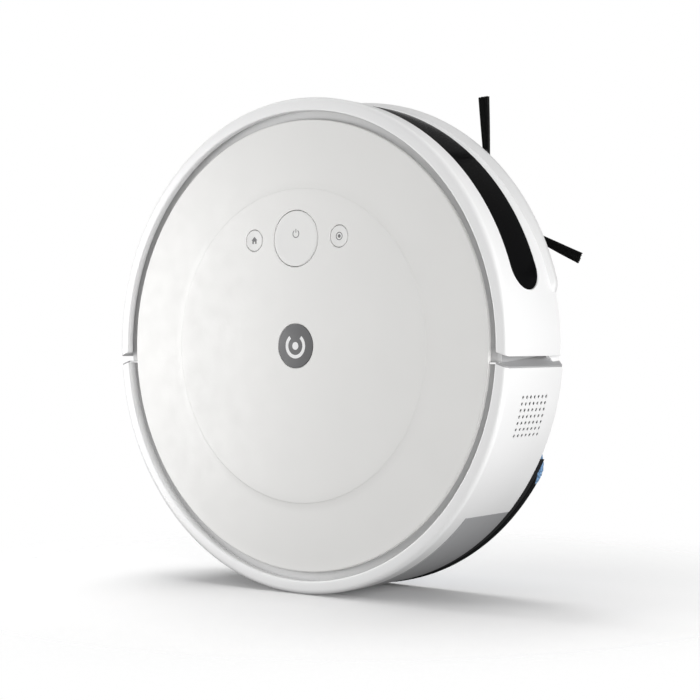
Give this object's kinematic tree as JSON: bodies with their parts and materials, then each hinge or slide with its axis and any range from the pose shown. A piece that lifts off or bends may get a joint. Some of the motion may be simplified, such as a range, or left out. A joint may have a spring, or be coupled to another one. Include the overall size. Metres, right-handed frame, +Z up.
{
  "type": "robot vacuum",
  "caption": "Round white floor-cleaning robot with a domed control plate, dark front sensor window, three-armed side brush, rear dust bin with water tank and a mop pad under it.",
  "frame": {"origin": "centre of the whole robot's footprint at floor level", "axes": "+Z up, -Y towards the robot's front (bumper), -X towards the robot's right side (side brush)"},
  "size_m": [0.351, 0.343, 0.0812],
  "materials": {
    "satin_white": "fine satin",
    "gloss_white": "semi-gloss",
    "window_black": "gloss, infrared-clear",
    "frame_grey": "matte",
    "emblem_grey": "satin",
    "charcoal": "fine spark texture",
    "circuit_green": "solder mask",
    "steel": "brushed",
    "contact_metal": "plated",
    "rubber_black": "matte rubber",
    "bristle": "nylon bristle and soft plastic",
    "gear_plastic": "acetal",
    "smoked_clear": "smoked translucent",
    "filter_white": "pleated filter paper",
    "microfibre_blue": "looped microfibre"
  },
  "bodies": {
    "root": {"top_plate": "satin_white", "rear_shell": "gloss_white", "upper_housing": "frame_grey", "emblem_disc": "emblem_grey", "chassis": "charcoal", "battery": "charcoal", "battery_door": "charcoal", "main_board": "circuit_green", "speaker": "charcoal", "bumper_spring_left": "steel", "bumper_spring_right": "steel", "bumper_switch_left": "charcoal", "bumper_switch_right": "charcoal", "chassis_screw_1": "steel", "chassis_screw_2": "steel", "cliff_window_1": "window_black", "cliff_window_2": "window_black", "cliff_window_3": "window_black", "cliff_window_4": "window_black", "charge_contact_left": "contact_metal", "charge_contact_right": "contact_metal", "suspension_spring_left": "steel", "suspension_spring_right": "steel", "caster_socket": "frame_grey", "brush_housing": "charcoal", "brush_bearing": "gear_plastic", "brush_motor": "steel", "side_brush_motor": "charcoal", "blower_housing": "frame_grey", "blower_motor": "steel"},
    "bumper": {"bumper": "gloss_white", "sensor_window": "window_black"},
    "clean_button": {"clean_button": "satin_white"},
    "home_button": {"home_button": "satin_white"},
    "spot_button": {"spot_button": "satin_white"},
    "left_wheel_arm": {"left_wheel_arm": "charcoal", "left_wheel_motor": "steel"},
    "left_wheel": {"left_wheel_hub": "frame_grey", "left_tyre": "rubber_black"},
    "right_wheel_arm": {"right_wheel_arm": "charcoal", "right_wheel_motor": "steel"},
    "right_wheel": {"right_wheel_hub": "frame_grey", "right_tyre": "rubber_black"},
    "caster_fork": {"caster_fork": "charcoal", "caster_axle": "steel"},
    "caster_wheel": {"caster_wheel": "rubber_black"},
    "main_brush": {"main_brush": "bristle", "brush_gear": "gear_plastic"},
    "idler_gear": {"idler_gear": "gear_plastic"},
    "brush_pinion": {"brush_pinion": "gear_plastic"},
    "side_brush": {"side_brush": "bristle"},
    "impeller": {"impeller": "gear_plastic"},
    "bin": {"dust_bin": "smoked_clear", "bin_lid": "smoked_clear", "filter": "filter_white", "tank_plug": "rubber_black"},
    "bin_button": {"bin_button": "frame_grey"},
    "mop_plate": {"mop_plate": "charcoal", "mop_pad": "microfibre_blue"},
    "brush_guard": {"brush_guard": "frame_grey"}
  },
  "joints": [
    {"name": "bumper_push", "type": "slide", "parent": "root", "child": "bumper", "axis": [0, 1, 0], "range_m": [0, 0.004], "stiffness_N_per_m": 300, "springref_m": -0.005},
    {"name": "clean_press", "type": "slide", "parent": "root", "child": "clean_button", "axis": [0, 0, -1], "range_m": [0, 0.0008], "stiffness_N_per_m": 800, "springref_m": -0.001},
    {"name": "home_press", "type": "slide", "parent": "root", "child": "home_button", "axis": [0, 0, -1], "range_m": [0, 0.0008], "stiffness_N_per_m": 600, "springref_m": -0.001},
    {"name": "spot_press", "type": "slide", "parent": "root", "child": "spot_button", "axis": [0, 0, -1], "range_m": [0, 0.0008], "stiffness_N_per_m": 600, "springref_m": -0.001},
    {"name": "left_wheel_drop", "type": "hinge", "parent": "root", "child": "left_wheel_arm", "pos_m": [0.0955, -0.024, 0.04], "axis": [-1, 0, 0], "range_deg": [0, 20], "stiffness_Nm_per_rad": 0.2, "springref_deg": 85.94},
    {"name": "left_wheel_spin", "type": "hinge", "parent": "left_wheel_arm", "child": "left_wheel", "pos_m": [0.1145, 0.028, 0.035], "axis": [1, 0, 0], "continuous": true},
    {"name": "right_wheel_drop", "type": "hinge", "parent": "root", "child": "right_wheel_arm", "pos_m": [-0.0845, -0.024, 0.04], "axis": [-1, 0, 0], "range_deg": [0, 20], "stiffness_Nm_per_rad": 0.2, "springref_deg": 85.94},
    {"name": "right_wheel_spin", "type": "hinge", "parent": "right_wheel_arm", "child": "right_wheel", "pos_m": [-0.1035, 0.028, 0.035], "axis": [1, 0, 0], "continuous": true},
    {"name": "caster_swivel", "type": "hinge", "parent": "root", "child": "caster_fork", "pos_m": [0.0055, -0.125, 0.02], "axis": [0, 0, 1], "continuous": true},
    {"name": "caster_roll", "type": "hinge", "parent": "caster_fork", "child": "caster_wheel", "pos_m": [0.0055, -0.12, 0.011], "axis": [1, 0, 0], "continuous": true},
    {"name": "main_brush_spin", "type": "hinge", "parent": "root", "child": "main_brush", "pos_m": [0.0055, 0.048, 0.02], "axis": [1, 0, 0], "continuous": true},
    {"name": "idler_spin", "type": "hinge", "parent": "root", "child": "idler_gear", "pos_m": [-0.0758, 0.048, 0.04], "axis": [1, 0, 0], "continuous": true},
    {"name": "brush_pinion_spin", "type": "hinge", "parent": "root", "child": "brush_pinion", "pos_m": [-0.0758, 0.048, 0.056], "axis": [1, 0, 0], "continuous": true},
    {"name": "side_brush_spin", "type": "hinge", "parent": "root", "child": "side_brush", "pos_m": [-0.105, -0.09, 0.008], "axis": [0, 0, 1], "continuous": true},
    {"name": "impeller_spin", "type": "hinge", "parent": "root", "child": "impeller", "pos_m": [0.0135, -0.008, 0.036], "axis": [0, 0, 1], "continuous": true},
    {"name": "bin_slide", "type": "slide", "parent": "root", "child": "bin", "axis": [0, 1, 0], "range_m": [0, 0.12]},
    {"name": "bin_button_press", "type": "slide", "parent": "bin", "child": "bin_button", "axis": [0, -1, 0], "range_m": [0, 0.002], "stiffness_N_per_m": 500, "springref_m": -0.002},
    {"name": "mop_plate_release", "type": "slide", "parent": "bin", "child": "mop_plate", "axis": [0, 0, -1], "range_m": [0, 0.02]},
    {"name": "brush_guard_open", "type": "hinge", "parent": "root", "child": "brush_guard", "pos_m": [0.004, 0.024, 0.0093], "axis": [-1, 0, 0], "range_deg": [0, 90]}
  ],
  "couplings": [
    {"joint": "idler_spin", "follows": "main_brush_spin", "ratio": -1},
    {"joint": "brush_pinion_spin", "follows": "main_brush_spin", "ratio": 1.6667}
  ]
}
